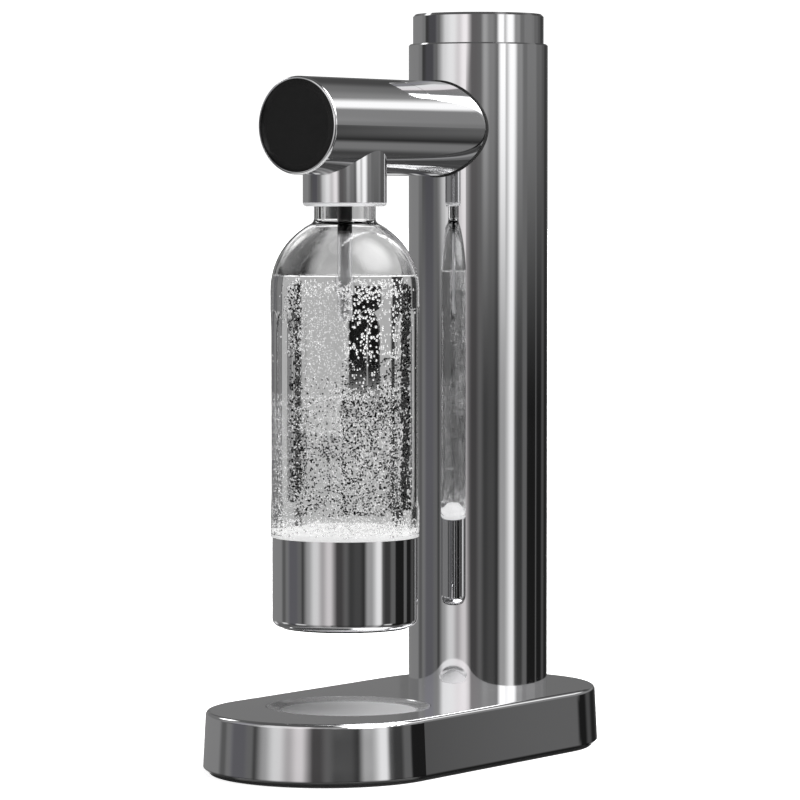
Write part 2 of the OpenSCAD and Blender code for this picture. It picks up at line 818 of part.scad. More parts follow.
// Gas line
tower_r = 10;
pipe_rear = column_y - valve_r + pipe_seat;
pipe_front = bottle_y + tower_r - pipe_seat;
pipe_nut_across = 10.6;
pipe_nut_len = 6;
module gas_pipe() color("peru") difference() {
    y_rod(pipe_r, pipe_front, pipe_rear, 0, gas_z);
    y_rod(pipe_bore, pipe_front - cut, pipe_rear + cut, 0, gas_z);
}

module pipe_nuts() color(brass) {
    y_nut(pipe_nut_across, pipe_r, column_y - valve_r - pipe_nut_len, column_y - valve_r, gas_z);
    y_nut(pipe_nut_across, pipe_r, bottle_y + tower_r, bottle_y + tower_r + pipe_nut_len, gas_z);
}

// Nozzle
block_up = 2;
block_top = arm_z + block_up;
block_rim = 3;
block_half = shroud_ir + block_rim;
tower_up = 5.5;
tower_top = gas_z + tower_up;
seal_r = neck_r;
screw_circle = (collar_bore + shroud_ir) / 2;
collar_screw_r = 1;
collar_screw_head_r = 1.7;
collar_screw_head_h = 2;
collar_screw_in = 7;
collar_screws_n = 3;
module nozzle_block() color(nylon) difference() {
    union() {
        intersection() {
            y_rod(arm_ir - run_gap, bottle_y - block_half, bottle_y + block_half, 0, arm_z);
            translate([-arm_r, bottle_y - block_half, arm_z - arm_ir])
                cube([2 * arm_r, 2 * block_half, block_top - arm_z + arm_ir]);
        }
        at_bottle() disc(shroud_ir - seat_gap, collar_top, block_top);
        at_bottle() disc(tower_r, block_top - cut, tower_top);
    }
    at_bottle() disc(seal_r, collar_top - cut, collar_top + seal_t);
    at_bottle() disc(tube_r, collar_top, tube_top);
    at_bottle() disc(pipe_bore, tube_top - cut, gas_z);
    y_rod(pipe_bore, bottle_y, bottle_y + tower_r, 0, gas_z);
    y_rod(pipe_r, bottle_y + tower_r - pipe_seat, bottle_y + tower_r + cut, 0, gas_z);
    at_bottle() around(collar_screws_n, screw_circle, 90)
        disc(collar_screw_r, collar_top - cut, collar_top + collar_screw_in + screw_end_gap);
}

relief_r = 5;
relief_h = 6;
relief_step = 2;
relief_hole = 1;
module relief_valve() color(brass) at_bottle() difference() {
    union() {
        disc(relief_r, tower_top, tower_top + relief_h - relief_step);
        disc(relief_r - relief_step, tower_top + relief_h - relief_step, tower_top + relief_h);
    }
    disc(relief_hole, tower_top - cut, tower_top + relief_h + cut);
}

module nozzle_shroud() color(steel) difference() {
    at_bottle() rotate_extrude() difference() {
        union() {
            translate([0, shroud_z]) square([shroud_r - shroud_edge, arm_z - shroud_z]);
            translate([0, shroud_z + shroud_edge]) square([shroud_r, arm_z - shroud_z - shroud_edge]);
            translate([shroud_r - shroud_edge, shroud_z + shroud_edge]) circle(r = shroud_edge);
        }
        translate([0, shroud_z - cut]) square([shroud_low_ir - shroud_lip_w, arm_z]);
        translate([0, collar_z]) square([shroud_low_ir, collar_flange_h]);
        translate([0, collar_z + collar_flange_h - cut]) square([shroud_ir, arm_z]);
    }
    y_rod(arm_r, arm_front - cut, column_y, 0, arm_z);
}

thread_root = 0.4;
thread_lead_in = 4.2;
thread_start = collar_z + thread_lead_in;
module bottle_collar() color(black) at_bottle() {
    difference() {
        union() {
            disc(shroud_low_ir - slip_gap, collar_z, collar_z + collar_flange_h);
            disc(shroud_ir - slip_gap, collar_z, collar_top);
        }
        disc(collar_bore, collar_z - cut, collar_top + cut);
        around(collar_screws_n, screw_circle, 90) {
            disc(collar_screw_r + run_gap, collar_z - cut, collar_top + cut);
            disc(collar_screw_head_r + run_gap, collar_z - cut, collar_z + collar_screw_head_h);
        }
    }
    thread_ridge(collar_bore + thread_root, collar_bore - thread_depth,
        thread_start - thread_pitch / 2, thread_turns);
}

module collar_screws() color(dark_steel) at_bottle() around(collar_screws_n, screw_circle, 90)
    screw_up(collar_screw_r, collar_screw_head_r, collar_screw_head_h,
        collar_z + collar_screw_head_h, collar_top + collar_screw_in);

module bottle_seal() color(rubber) at_bottle() ring(seal_r, tube_r, collar_top, collar_top + seal_t);

tip_len = 14;
tip_step = 1;
tip_r = tube_r - tip_step;
tip_taper = 4;
tip_bore = 1.2;
tip_hole = 0.4;
tube_low = shroud_z - tube_len;
module carbonation_tube() color(steel) at_bottle()
    ring(tube_r, pipe_bore, tube_low + tip_len, tube_top);

module nozzle_tip() color(steel) at_bottle() difference() {
    union() {
        disc(tip_r, tube_low + tip_taper, tube_low + tip_len);
        translate([0, 0, tube_low]) cylinder(r1 = tip_r - tip_step, r2 = tip_r, h = tip_taper);
    }
    disc(tip_bore, tube_low + tip_taper - cut, tube_low + tip_len + cut);
    disc(tip_hole, tube_low - cut, tube_low + tip_taper);
}

// Bottle: the inside is the outside taken in by the wall, so the flutes show on both faces
foot_round = 14;
neck_tuck = 0.8;
bottle_low = cup_floor + cup_wall + seat_gap;
module flutes(grow) {
    for (i = [0 : flute_count - 1]) rotate([0, 0, i * 360 / flute_count])
        translate([bottle_r + flute_r - flute_depth, 0, 0]) {
            disc(flute_r + grow, flute_low, flute_top);
            for (z = [flute_low, flute_top]) translate([0, 0, z]) sphere(r = flute_r + grow);
        }
}

module bottle_form(inset) {
    corner = foot_round - inset;
    low = bottle_low + inset;
    difference() {
        union() {
            disc(bottle_r - inset, cup_top + seat_gap + inset, dome_z);
            translate([0, 0, dome_z]) sphere(r = bottle_r - inset);
        }
        flutes(inset);
        disc(bottle_d, 0, cup_top + seat_gap + inset);
    }
    disc(spigot_r - inset, low + corner, cup_top + seat_gap + inset + cut);
    disc(spigot_r - foot_round, low, low + corner + cut);
    translate([0, 0, low + corner]) rotate_extrude() translate([spigot_r - foot_round, 0]) circle(r = corner);
}

// Fillet between the dome and the neck
module neck_blend() {
    rotate_extrude() difference() {
        translate([0, dome_z]) intersection() {
            square([neck_r + neck_fillet, dome_to_fillet]);
            polygon([[0, 0], [neck_r + neck_fillet, dome_to_fillet], [0, dome_to_fillet]]);
        }
        translate([neck_r + neck_fillet, neck_low]) circle(r = neck_fillet);
    }
}

module bottle() color(clear_plastic) at_bottle() difference() {
    union() {
        bottle_form(0);
        neck_blend();
        disc(neck_r, neck_low - cut, collar_z + neck_tuck);
        disc(finish_r, neck_low, bottle_rim);
        thread_ridge(finish_r - thread_root, finish_r + thread_depth, thread_start, thread_turns);
    }
    bottle_form(bottle_wall);
    disc(mouth_r, dome_z, bottle_rim + cut);
}

module cup_form(r, low, high, corner) {
    rotate_extrude() union() {
        translate([0, low]) square([r - corner, high - low]);
        translate([0, low + corner]) square([r, high - low - corner]);
        translate([r - corner, low + corner]) circle(r = corner);
    }
}

cup_foot_in = 5.2;
cup_foot_out = cup_r - cup_foot_in;
cup_foot_w = 8;
cup_groove = 0.4;
module bottle_cup() color(steel) at_bottle() difference() {
    cup_form(cup_r, cup_floor, cup_top, cup_round);
    cup_form(cup_r - cup_wall, cup_floor + cup_wall, cup_top + cut, cup_round - cup_wall);
    ring(cup_foot_out + run_gap, cup_foot_out - cup_foot_w - run_gap, cup_z, cup_floor + cup_groove);
}

module cup_foot() color(rubber) at_bottle()
    ring(cup_foot_out, cup_foot_out - cup_foot_w, cup_z, cup_floor + cup_groove);

base_shell();
base_plate();
foot_ring();
base_screws();
cylinder_cover();
drip_tray();
column_socket();
socket_screws();
column_tube();
guide_ring();
head_frame();
valve_body();
valve_locknut();
pin_seal();
valve_pin();
cylinder_poppet();
cylinder_seal();
valve_lever();
lever_bracket();
lever_pin();
bracket_screws();
push_button();
button_core();
guide_rods();
button_springs();
rod_clips();
co2_cylinder();
cylinder_valve();
arm_tube();
arm_gasket();
arm_plug();
arm_bolts();
end_cap();
gas_pipe();
pipe_nuts();
nozzle_block();
relief_valve();
nozzle_shroud();
bottle_collar();
collar_screws();
bottle_seal();
carbonation_tube();
nozzle_tip();
bottle();
bottle_cup();
cup_foot();
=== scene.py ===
"""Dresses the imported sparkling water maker.

Polished steel, a fluted clear bottle with fizzing water, and the light of a photo studio.
"""

import math

import bmesh
import bpy
import numpy as np
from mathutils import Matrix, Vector


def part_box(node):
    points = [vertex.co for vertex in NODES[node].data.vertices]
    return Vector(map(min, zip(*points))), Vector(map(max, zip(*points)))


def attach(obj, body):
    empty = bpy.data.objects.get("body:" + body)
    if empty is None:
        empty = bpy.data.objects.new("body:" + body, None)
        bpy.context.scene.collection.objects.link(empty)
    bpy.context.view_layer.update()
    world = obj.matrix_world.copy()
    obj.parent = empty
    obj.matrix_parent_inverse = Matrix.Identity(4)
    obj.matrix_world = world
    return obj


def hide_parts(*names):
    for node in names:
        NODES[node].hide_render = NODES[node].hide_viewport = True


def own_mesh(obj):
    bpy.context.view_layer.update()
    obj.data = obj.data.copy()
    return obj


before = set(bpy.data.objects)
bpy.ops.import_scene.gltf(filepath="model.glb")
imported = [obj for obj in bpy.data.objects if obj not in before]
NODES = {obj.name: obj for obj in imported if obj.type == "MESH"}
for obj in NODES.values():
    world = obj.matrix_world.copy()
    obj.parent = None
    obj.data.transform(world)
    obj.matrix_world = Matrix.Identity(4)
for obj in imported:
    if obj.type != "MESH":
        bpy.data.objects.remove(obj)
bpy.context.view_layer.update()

MM = 0.001

# Taken from the frame

BOTTLE_LOW, BOTTLE_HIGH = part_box("bottle")
CUP_LOW, CUP_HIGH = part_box("bottle_cup")
TRAY_LOW, TRAY_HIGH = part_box("drip_tray")
SPRINGS_LOW, SPRINGS_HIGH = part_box("button_springs")
SHROUD_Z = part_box("nozzle_shroud")[0].z


# Shader nodes


class Nodes:
    """Short ways to add and join shader nodes in one tree."""

    def __init__(self, tree, keep=False):
        self.tree = tree
        if not keep:
            tree.nodes.clear()

    def add(self, kind, **settings):
        node = self.tree.nodes.new(kind)
        for name, value in settings.items():
            setattr(node, name, value)
        return node

    def put(self, socket, value):
        """Sets an input to a value, or links it to another node's output."""
        if isinstance(value, bpy.types.NodeSocket):
            self.tree.links.new(value, socket)
        else:
            socket.default_value = value

    def fill(self, node, values):
        """Puts a value or a link on each named input of a node."""
        for name, value in values.items():
            self.put(node.inputs[name], value)

    def math(self, operation, *values):
        node = self.add("ShaderNodeMath", operation=operation)
        for socket, value in zip(node.inputs, values):
            self.put(socket, value)
        return node.outputs[0]

    def remap(self, value, low, high, to_low, to_high):
        """Takes one range smoothly to another, and stays at its ends beyond it."""
        node = self.add("ShaderNodeMapRange", interpolation_type="SMOOTHSTEP")
        for socket, x in zip(node.inputs, (value, low, high, to_low, to_high)):
            self.put(socket, x)
        return node.outputs[0]

    def mix(self, factor, a, b, blend="MIX"):
        node = self.add("ShaderNodeMix", data_type="RGBA", blend_type=blend)
        colours = [s for s in node.inputs if s.type == "RGBA"]
        self.put(node.inputs[0], factor)
        self.put(colours[0], a)
        self.put(colours[1], b)
        return next(s for s in node.outputs if s.type == "RGBA")

    def place(self):
        """The place on the part, in metres."""
        return self.add("ShaderNodeTexCoord").outputs["Object"]

    def split(self, vector):
        node = self.add("ShaderNodeSeparateXYZ")
        self.put(node.inputs[0], vector)
        return node.outputs

    def height_remap(self, low, high, to_low, to_high):
        """A value that changes between two heights on the part."""
        return self.remap(self.split(self.place())[2], low, high, to_low, to_high)

    def noise(self, scale, detail=3.0, stretch=None):
        """Noise over the part, in features per metre."""
        vector = self.place()
        if stretch is not None:
            mapping = self.add("ShaderNodeMapping")
            self.fill(mapping, {"Vector": vector, "Scale": stretch})
            vector = mapping.outputs["Vector"]
        node = self.add("ShaderNodeTexNoise")
        self.fill(node, {"Vector": vector, "Scale": scale, "Detail": detail})
        return node.outputs[0]

    def bump(self, height, strength, distance):
        node = self.add("ShaderNodeBump")
        self.fill(node, {"Height": height, "Strength": strength, "Distance": distance})
        return node.outputs[0]


def grey(level):
    return (level, level, level, 1.0)


def rgba(colour, share=1.0):
    return (*(min(1.0, c * share) for c in colour), 1.0)


# Camera, as fitted to the photo

CAMERA_PLACE = Vector((1330.3, -1830.1, 308.5)) * MM
CAMERA_TURN = math.radians(36.088)
CAMERA_DIP = math.radians(2.754)
CAMERA_LENS = 183.2
CAMERA_REACH = 100.0
SENSOR = 36.0


def make_camera():
    camera = bpy.data.objects.new("camera", bpy.data.cameras.new("camera"))
    bpy.context.scene.collection.objects.link(camera)
    camera.data.lens = CAMERA_LENS
    camera.data.sensor_width = SENSOR
    camera.data.clip_end = CAMERA_REACH
    camera.location = CAMERA_PLACE
    forward = Vector((
        -math.sin(CAMERA_TURN) * math.cos(CAMERA_DIP),
        math.cos(CAMERA_TURN) * math.cos(CAMERA_DIP),
        -math.sin(CAMERA_DIP),
    ))
    camera.rotation_euler = forward.to_track_quat("-Z", "Y").to_euler()
    bpy.context.scene.camera = camera


# Studio light. Turns are in degrees round the upright axis, from the camera's side and growing to the
# image's right; elevations are in degrees from the horizon. Panels stand all round the part. Each runs from
# its start to the start of the next, and has three levels: for light from below, from eye height and from
# above.

LIGHT_ZERO = -90.0 + math.degrees(CAMERA_TURN)
BELOW, EYE_HEIGHT, ABOVE = -3.0, 2.5, 9.0
FIRST_PANEL = (0.235, 0.235, 0.18)
PANELS = [  # start, softness, level from below, at eye height, from above
    (-118, 4, 0.11, 0.20, 0.28),
    (-108, 3, 0.185, 0.045, 0.30),
    (-99, 4, 0.12, 0.075, 0.30),
    (-81, 3, 0.14, 0.145, 0.30),
    (-72, 2.5, 0.05, 0.30, 0.30),
    (-65, 6, 0.35, 0.75, 1.0),
    (-54, 6, 0.71, 0.90, 1.0),
    (-40, 5, 0.42, 0.74, 1.0),
    (-30, 5, 0.67, 1.0, 1.0),
    (-19, 4, 0.26, 0.42, 0.9),
    (-14, 3, 0.06, 0.13, 0.3),
    (-2, 4, 0.12, 0.14, 0.3),
    (6, 4, 0.05, 0.40, 0.3),
    (15, 4, 0.067, 0.25, 0.3),
    (27, 4, 0.034, 0.16, 0.3),
    (34, 4, 0.36, 1.25, 1.4),
    (45, 2, 0.46, 0.50, 1.4),
    (50, 5, 0.88, 1.20, 1.4),
    (61, 3, 0.13, 1.10, 1.3),
    (65, 4, 0.046, 0.30, 0.4),
    (78, 3, 0.13, 0.17, 0.3),
    (88, 2, 0.012, 0.22, 0.33),
    (107, 3, 0.13, 0.2, 0.25),
    (116, 2, 0.012, 0.15, 0.26),
    (130, 4, 0.075, 0.10, 0.29),
    (141, 5, 0.018, 0.05, 0.25),
    (160, 6, 0.09, 0.14, 0.17),
]
TINTS = [  # turn, half width, softness, colour
    (-90, 10, 5, (0.97, 0.96, 1.05)),
    (-20, 20, 9, (1.02, 0.98, 0.99)),
]

# Over the panels a ceiling; under them a gap, darkest on the arm's side, then the floor and what is below it
CEILING_FROM, CEILING_FULL, CEILING_LEVEL = 32.0, 50.0, 0.1
GAP_TOP, GAP_FULL, GAP_LEVEL = -4.0, -23.0, 0.006
GAP = (140, 48, 8)
GAP_ELSEWHERE = 0.45
FLOOR_TOP, FLOOR_FULL = -23.0, -26.0
FLOOR_LEVEL, FLOOR_SHARE = 0.08, 0.35
UNDER_TOP, UNDER_FULL, UNDER_LEVEL = -38.0, -46.0, 0.75

LOW_BOXES = [(180, 13, 5), (146, 7, 4), (75, 8, 4), (-75, 10, 4), (-112, 7, 4), (-150, 8, 4)]
LOW_BOX_PLACE = (-15.0, 4.5, 0.7)
STRIPS = [  # band of turn, half width and softness; elevation, half height, level
    ((118, 26, 8), 28.0, 4.2, 1.15),
    ((168, 28, 10), 25.0, 10.0, 0.07),
    ((0, 85, 15), 18.0, 5.5, 0.5),
    ((122, 13, 6), -25.5, 5.0, 0.2),
    *((band, *LOW_BOX_PLACE) for band in LOW_BOXES),
]
STRIP_CORE, STRIP_END = 0.4, 1.6
SOFT_BOXES = [  # turn, elevation, half width, level
    (66.0, 48.0, 34.0, 9.0),
    (-138.0, 34.0, 10.0, 4.0),
]
BACKDROP_LEVEL = 1.15

# What only light through the bottle meets: a grey sheet behind it with dark flags, white beside, over and
# under it, and the dim room in front
SHEET = (180, 62, 8)
SHEET_LEVEL, SHEET_HEIGHT, SHEET_FADE = 0.43, 11.0, 17.0
BESIDE_LEVEL, FRONT_LEVEL = 1.5, 0.1
FRONT = (0, 80, 12)
FRONT_LOW = -15.0
FLAGS = [  # turn, half width, softness, elevation of the lower end, level
    (160.0, 2.3, 0.5, -5.0, 0.06),
    (-171.2, 6.6, 0.6, -2.65, 0.004),
    (-153.8, 4.6, 0.5, -9.0, 0.02),
    (-126.0, 12.0, 2.0, -9.0, 0.01),
]
FLAG_FADE = 0.4

LIGHT_BOUNCES = 24


def direction(turn, elevation):
    a = math.radians(turn + LIGHT_ZERO)
    e = math.radians(elevation)
    return (math.cos(a) * math.cos(e), math.sin(a) * math.cos(e), math.sin(e))


class Studio(Nodes):
    """Nodes of the surroundings, with the direction of the light as a turn and an elevation."""

    def __init__(self, tree):
        super().__init__(tree)
        self.look = self.add("ShaderNodeTexCoord").outputs["Generated"]
        x, y, z = self.split(self.look)
        away = self.math("SUBTRACT", self.math("ARCTAN2", y, x), math.radians(LIGHT_ZERO))
        self.turn = self.math("MULTIPLY", self.math("WRAP", away, math.pi, -math.pi), 180 / math.pi)
        self.elevation = self.math("MULTIPLY", self.math("ARCSINE", z), 180 / math.pi)

    def upright(self, turn, half, soft):
        """1 inside an upright band of directions, 0 outside it."""
        away = self.math("WRAP", self.math("SUBTRACT", self.turn, turn), 180.0, -180.0)
        return self.remap(self.math("ABSOLUTE", away), half - soft, half + soft, 1.0, 0.0)

    def over(self, start, full):
        """0 up to one elevation, 1 from another on; full may be the lower one."""
        if full > start:
            return self.remap(self.elevation, start, full, 0.0, 1.0)
        return self.remap(self.elevation, full, start, 1.0, 0.0)


def panel_light(n):
    rings = [grey(level) for level in FIRST_PANEL]
    for start, soft, *levels in PANELS:
        step = n.remap(n.turn, start - soft, start + soft, 0.0, 1.0)
        rings = [n.mix(step, ring, grey(level)) for ring, level in zip(rings, levels)]
    tint = grey(1.0)
    for turn, half, soft, colour in TINTS:
        tint = n.mix(n.upright(turn, half, soft), tint, (*colour, 1.0))
    light = n.mix(n.over(BELOW, EYE_HEIGHT), rings[0], rings[1])
    light = n.mix(n.over(EYE_HEIGHT, ABOVE), light, rings[2])
    light = n.mix(1.0, light, tint, "MULTIPLY")
    light = n.mix(n.over(CEILING_FROM, CEILING_FULL), light, grey(CEILING_LEVEL))
    gap = n.remap(n.upright(*GAP), 0.0, 1.0, GAP_ELSEWHERE, 1.0)
    light = n.mix(n.math("MULTIPLY", gap, n.over(GAP_TOP, GAP_FULL)), light, grey(GAP_LEVEL))
    floor = n.mix(FLOOR_SHARE, grey(FLOOR_LEVEL), rings[0])
    light = n.mix(n.over(FLOOR_TOP, FLOOR_FULL), light, floor)
    return n.mix(n.over(UNDER_TOP, UNDER_FULL), light, grey(UNDER_LEVEL))


def box_light(n, light):
    """Adds the level strips and the round soft boxes to the panels."""
    for band, elevation, half, level in STRIPS:
        away = n.math("ABSOLUTE", n.math("SUBTRACT", n.elevation, elevation))
        share = n.remap(away, half * STRIP_CORE, half * STRIP_END, 1.0, 0.0)
        light = n.mix(n.math("MULTIPLY", share, n.upright(*band)), light, grey(level))
    for turn, elevation, half, level in SOFT_BOXES:
        dot = n.add("ShaderNodeVectorMath", operation="DOT_PRODUCT")
        n.put(dot.inputs[0], n.look)
        dot.inputs[1].default_value = direction(turn, elevation)
        share = n.remap(dot.outputs["Value"], math.cos(math.radians(half)), 1.0, 0.0, 1.0)
        light = n.mix(share, light, grey(level))
    return light


def light_behind(n):
    sheet = grey(SHEET_LEVEL)
    for turn, half, soft, low, level in FLAGS:
        flag = n.math("MULTIPLY", n.upright(turn, half, soft), n.over(low - FLAG_FADE, low + FLAG_FADE))
        sheet = n.mix(flag, sheet, grey(level))
    tilt = n.math("ABSOLUTE", n.elevation)
    height = n.remap(tilt, SHEET_HEIGHT, SHEET_FADE, 1.0, 0.0)
    light = n.mix(n.math("MULTIPLY", height, n.upright(*SHEET)), grey(BESIDE_LEVEL), sheet)
    room = n.math("MULTIPLY", n.upright(*FRONT), n.over(FRONT_LOW - SHEET_FADE, FRONT_LOW))
    return n.mix(room, light, grey(FRONT_LEVEL))


def make_world():
    world = bpy.data.worlds.new("studio")
    bpy.context.scene.world = world
    world.use_nodes = True
    n = Studio(world.node_tree)
    path = n.add("ShaderNodeLightPath")
    light = box_light(n, panel_light(n))
    light = n.mix(path.outputs["Is Transmission Ray"], light, light_behind(n))
    light = n.mix(path.outputs["Is Camera Ray"], light, grey(BACKDROP_LEVEL))
    background = n.add("ShaderNodeBackground")
    n.put(background.inputs["Color"], light)
    n.put(n.add("ShaderNodeOutputWorld").inputs[0], background.outputs[0])
    cycles = bpy.context.scene.cycles
    cycles.max_bounces = LIGHT_BOUNCES
    cycles.transmission_bounces = LIGHT_BOUNCES
    bpy.context.scene.view_settings.view_transform = "Standard"
    bpy.context.scene.view_settings.look = "None"


GROUND_REACH, GROUND_DROP = 40.0, 0.2 * MM
GROUND_COLOUR, GROUND_ROUGHNESS, GROUND_GLOW = 0.8, 0.9, 0.86


def make_floor():
    """The white ground, which mirrors and clear pieces don't see."""
    corners = [(-1, -1), (1, -1), (1, 1), (-1, 1)]
    mesh = bpy.data.meshes.new("floor")
    mesh.from_pydata([(x * GROUND_REACH, y * GROUND_REACH, 0) for x, y in corners], [], [(0, 1, 2, 3)])
    floor = bpy.data.objects.new("floor", mesh)
    bpy.context.scene.collection.objects.link(floor)
    floor.location.z = -GROUND_DROP
    material, n, shader = new_material("floor")
    n.fill(shader, {
        "Base Color": grey(GROUND_COLOUR),
        "Roughness": GROUND_ROUGHNESS,
        "Emission Color": grey(1.0),
        "Emission Strength": GROUND_GLOW,
    })
    mesh.materials.append(material)
    floor.visible_glossy = False
    floor.visible_transmission = False


# Metals and plastics

STEEL = (0.86, 0.86, 0.87)
UPRIGHT_LINES = (1.0, 1.0, 0.02)
COIL_LINES = (1.0, 1.0, 0.05)
EVEN = (1.0, 1.0, 1.0)
POLISH = (STEEL, 0.03, 0.03, 0.02, UPRIGHT_LINES)
METALS = {  # colour, roughness, more of it in smudges, depth of the lines, their stretch
    "polished_steel": POLISH,
    "spring_steel": ((0.75, 0.76, 0.78), 0.16, 0.08, 0.1, COIL_LINES),
    "plated_steel": ((0.55, 0.56, 0.58), 0.28, 0.1, 0.15, EVEN),
    "cast_alloy": ((0.68, 0.69, 0.70), 0.38, 0.14, 0.4, EVEN),
    "brass": ((0.80, 0.60, 0.28), 0.2, 0.1, 0.15, EVEN),
    "copper": ((0.82, 0.45, 0.30), 0.2, 0.12, 0.15, EVEN),
}
DULL_TUBE = ((0.72, 0.72, 0.73), 0.5, 0.06, 0.1, EVEN)
PLASTIC_IOR, SMOOTH_IOR = 1.45, 1.25
PLASTICS = {  # colour, roughness, depth of the grain, index of refraction
    "black_plastic": ((0.012, 0.012, 0.013), 0.42, 0.25, PLASTIC_IOR),
    "black_gloss": ((0.007, 0.007, 0.007), 0.35, 0.04, SMOOTH_IOR),
    "black_rubber": ((0.008, 0.008, 0.008), 0.68, 0.4, PLASTIC_IOR),
    "white_nylon": ((0.68, 0.67, 0.62), 0.45, 0.2, PLASTIC_IOR),
}
CLOUD_LOW, CLOUD_HIGH = 0.3, 0.7
METAL_CLOUDS, METAL_DARKEST = 22.0, 0.95
LINES, LINE_DETAIL, LINE_DEPTH = 900.0, 2.0, 0.02 * MM
MOULD_CLOUDS, MOULD_LIGHTEST, MOULD_UNEVEN = 35.0, 1.18, 0.1
GRAIN, GRAIN_DETAIL, GRAIN_DEPTH = 2200.0, 2.0, 0.05 * MM


def new_material(name):
    material = bpy.data.materials.new(name)
    material.use_nodes = True
    n = Nodes(material.node_tree)
    shader = n.add("ShaderNodeBsdfPrincipled")
    n.put(n.add("ShaderNodeOutputMaterial").inputs[0], shader.outputs[0])
    return material, n, shader


def opened(material):
    """A finished material's nodes and its shader."""
    return Nodes(material.node_tree, keep=True), material.node_tree.nodes["Principled BSDF"]


def linked(socket):
    """The output that an input is linked to."""
    return socket.links[0].from_socket


def metal(name, colour, rough, smudge, scratch, stretch):
    """Metal with cloudy wear in its gloss and colour, and fine lines from polishing."""
    material, n, shader = new_material(name)
    clouds = n.noise(METAL_CLOUDS)
    n.fill(shader, {
        "Metallic": 1.0,
        "Base Color": n.mix(clouds, rgba(colour, METAL_DARKEST), rgba(colour)),
        "Roughness": n.remap(clouds, CLOUD_LOW, CLOUD_HIGH, rough, rough + smudge),
        "Normal": n.bump(n.noise(LINES, LINE_DETAIL, stretch), scratch, LINE_DEPTH),
    })
    return material


def plastic(name, colour, rough, grain, ior):
    """Moulded plastic or rubber with a fine grain and a little unevenness in colour."""
    material, n, shader = new_material(name)
    clouds = n.noise(MOULD_CLOUDS)
    smoothest = rough * (1 - MOULD_UNEVEN)
    roughest = rough * (1 + MOULD_UNEVEN)
    n.fill(shader, {
        "Base Color": n.mix(clouds, rgba(colour), rgba(colour, MOULD_LIGHTEST)),
        "Roughness": n.remap(clouds, CLOUD_LOW, CLOUD_HIGH, smoothest, roughest),
        "IOR": ior,
        "Normal": n.bump(n.noise(GRAIN, GRAIN_DETAIL), grain, GRAIN_DEPTH),
    })
    return material


# Painted shade: the base's lower edge is darkened where a contact shadow over the foot would fall.
BASE_PAINTED_SHADE_HEIGHTS = (3.0 * MM, 4.2 * MM)
BASE_PAINTED_SHADE_LEVEL = 0.04


def base_metal_painted_shade(name):
    """Polished steel with painted shade: it darkens at its lower edge, over the foot, as a contact shadow
    would.
    """
    material = metal(name, *POLISH)
    n, shader = opened(material)
    colour = shader.inputs["Base Color"]
    share = n.height_remap(*BASE_PAINTED_SHADE_HEIGHTS, 0.0, 1.0)
    n.put(colour, n.mix(share, grey(BASE_PAINTED_SHADE_LEVEL), linked(colour)))
    return material


# Painted shade: the tube is made black where it runs through the bottle's neck.
TUBE_PAINTED_SHADE_HEIGHTS = (290.0 * MM, 293.0 * MM)
TUBE_PAINTED_SHADE_LEVEL = 0.006


def tube_metal_painted_shade(name):
    """Dull steel with painted shade: black in the bottle's neck."""
    material = metal(name, *DULL_TUBE)
    n, shader = opened(material)
    colour = shader.inputs["Base Color"]
    share = n.height_remap(*TUBE_PAINTED_SHADE_HEIGHTS, 0.0, 1.0)
    n.put(colour, n.mix(share, linked(colour), grey(TUBE_PAINTED_SHADE_LEVEL)))
    return material


LIP = 2.4 * MM
LIP_FADE = 0.72 * MM
LIP_METALLIC, LIP_ROUGHNESS = 0.62, 0.3


def shroud_metal(name):
    """Polished steel with a bright satin lip round its lower end."""
    material = metal(name, *POLISH)
    n, shader = opened(material)
    share = n.height_remap(SHROUD_Z + LIP - LIP_FADE, SHROUD_Z + LIP, 0.0, 1.0)
    gloss = linked(shader.inputs["Roughness"])
    n.put(shader.inputs["Metallic"], n.remap(share, 0.0, 1.0, LIP_METALLIC, 1.0))
    n.put(shader.inputs["Roughness"], n.remap(share, 0.0, 1.0, LIP_ROUGHNESS, gloss))
    return material


TRAY_MIDDLE = ((TRAY_LOW.x + TRAY_HIGH.x) / 2, (TRAY_LOW.y + TRAY_HIGH.y) / 2, TRAY_HIGH.z)
TRAY_FLOOR_R = 38.4 * MM
TRAY_EDGE = (TRAY_FLOOR_R - 1.5 * MM, TRAY_FLOOR_R)
TRAY_METALLIC, RIM_METALLIC = 0.55, 0.8
TRAY_ROUGHNESS, RIM_ROUGHNESS = 0.3, 0.12
TRAY_CROWN = 0.66


def tray_metal(name):
    """Satin floor with a slight crown, inside a bright rim."""
    material, n, shader = new_material(name)
    away = n.add("ShaderNodeVectorMath", operation="DISTANCE")
    n.put(away.inputs[0], n.place())
    away.inputs[1].default_value = TRAY_MIDDLE
    radius = away.outputs["Value"]
    crown = n.math("MULTIPLY", n.math("MULTIPLY", radius, radius), -TRAY_CROWN)
    n.fill(shader, {
        "Base Color": n.mix(n.noise(METAL_CLOUDS), rgba(STEEL, METAL_DARKEST), rgba(STEEL)),
        "Metallic": n.remap(radius, *TRAY_EDGE, TRAY_METALLIC, RIM_METALLIC),
        "Roughness": n.remap(radius, *TRAY_EDGE, TRAY_ROUGHNESS, RIM_ROUGHNESS),
        "Normal": n.bump(crown, 1.0, 1.0),
    })
    return material


